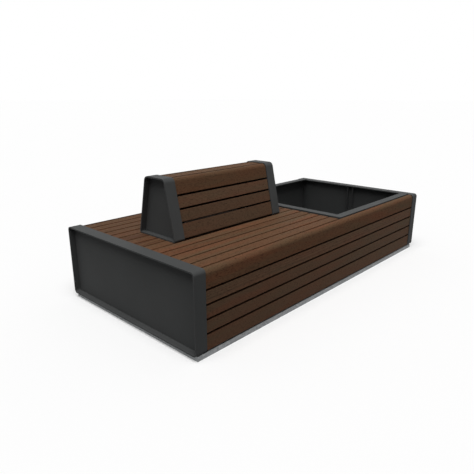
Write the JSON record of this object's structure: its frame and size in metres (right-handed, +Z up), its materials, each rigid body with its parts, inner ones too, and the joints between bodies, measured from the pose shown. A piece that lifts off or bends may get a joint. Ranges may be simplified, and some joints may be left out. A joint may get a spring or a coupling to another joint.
{
  "type": "bench_with_planter",
  "caption": "Street bench with a dark timber seat, a low two-sided backrest, grey steel end frames and an open planter built into one end",
  "frame": {"origin": "On the floor, under the middle of the bench's bounding box", "axes": "+X runs along the bench towards the planter, +Y across the bench away from the front long side, +Z up"},
  "size_m": [2.378, 1.112, 0.778],
  "materials": {
    "graphite_paint": "matt powder coat",
    "brown_timber": "oiled, brushed along the grain",
    "zinc_steel": "hot dip galvanised, dull",
    "bolt_steel": "stainless, as rolled"
  },
  "bodies": {
    "root": {"backrest_board_back_1": "brown_timber", "backrest_board_back_2": "brown_timber", "backrest_board_back_3": "brown_timber", "backrest_board_front_1": "brown_timber", "backrest_board_front_2": "brown_timber", "backrest_board_front_3": "brown_timber", "backrest_bolt_far_back": "bolt_steel", "backrest_bolt_far_front": "bolt_steel", "backrest_bolt_near_back": "bolt_steel", "backrest_bolt_near_front": "bolt_steel", "backrest_frame_far": "graphite_paint", "backrest_frame_near": "graphite_paint", "backrest_nose_back": "brown_timber", "backrest_nose_front": "brown_timber", "backrest_panel_far": "graphite_paint", "backrest_panel_near": "graphite_paint", "backrest_rib_far": "graphite_paint", "backrest_rib_near": "graphite_paint", "backrest_top_board": "brown_timber", "cross_frame_1": "graphite_paint", "cross_frame_2": "graphite_paint", "cross_frame_3": "graphite_paint", "cross_frame_4": "graphite_paint", "cross_frame_5": "graphite_paint", "end_frame_far": "graphite_paint", "end_frame_near": "graphite_paint", "end_panel_far": "graphite_paint", "end_panel_near": "graphite_paint", "nose_board_back": "brown_timber", "nose_board_front": "brown_timber", "planter_bearer": "graphite_paint", "planter_box": "graphite_paint", "planter_cradle_far": "graphite_paint", "planter_cradle_near": "graphite_paint", "planter_rim": "graphite_paint", "planter_stiffener": "graphite_paint", "plinth_frame": "zinc_steel", "seat_board_01": "brown_timber", "seat_board_02": "brown_timber", "seat_board_03": "brown_timber", "seat_board_04": "brown_timber", "seat_board_05": "brown_timber", "seat_board_06": "brown_timber", "seat_board_07": "brown_timber", "seat_board_08": "brown_timber", "seat_board_09": "brown_timber", "seat_board_10": "brown_timber", "seat_board_11": "brown_timber", "seat_board_12": "brown_timber", "seat_board_13": "brown_timber", "seat_board_14": "brown_timber", "side_board_back_1": "brown_timber", "side_board_back_2": "brown_timber", "side_board_back_3": "brown_timber", "side_board_back_4": "brown_timber", "side_board_front_1": "brown_timber", "side_board_front_2": "brown_timber", "side_board_front_3": "brown_timber", "side_board_front_4": "brown_timber"}
  },
  "joints": []
}
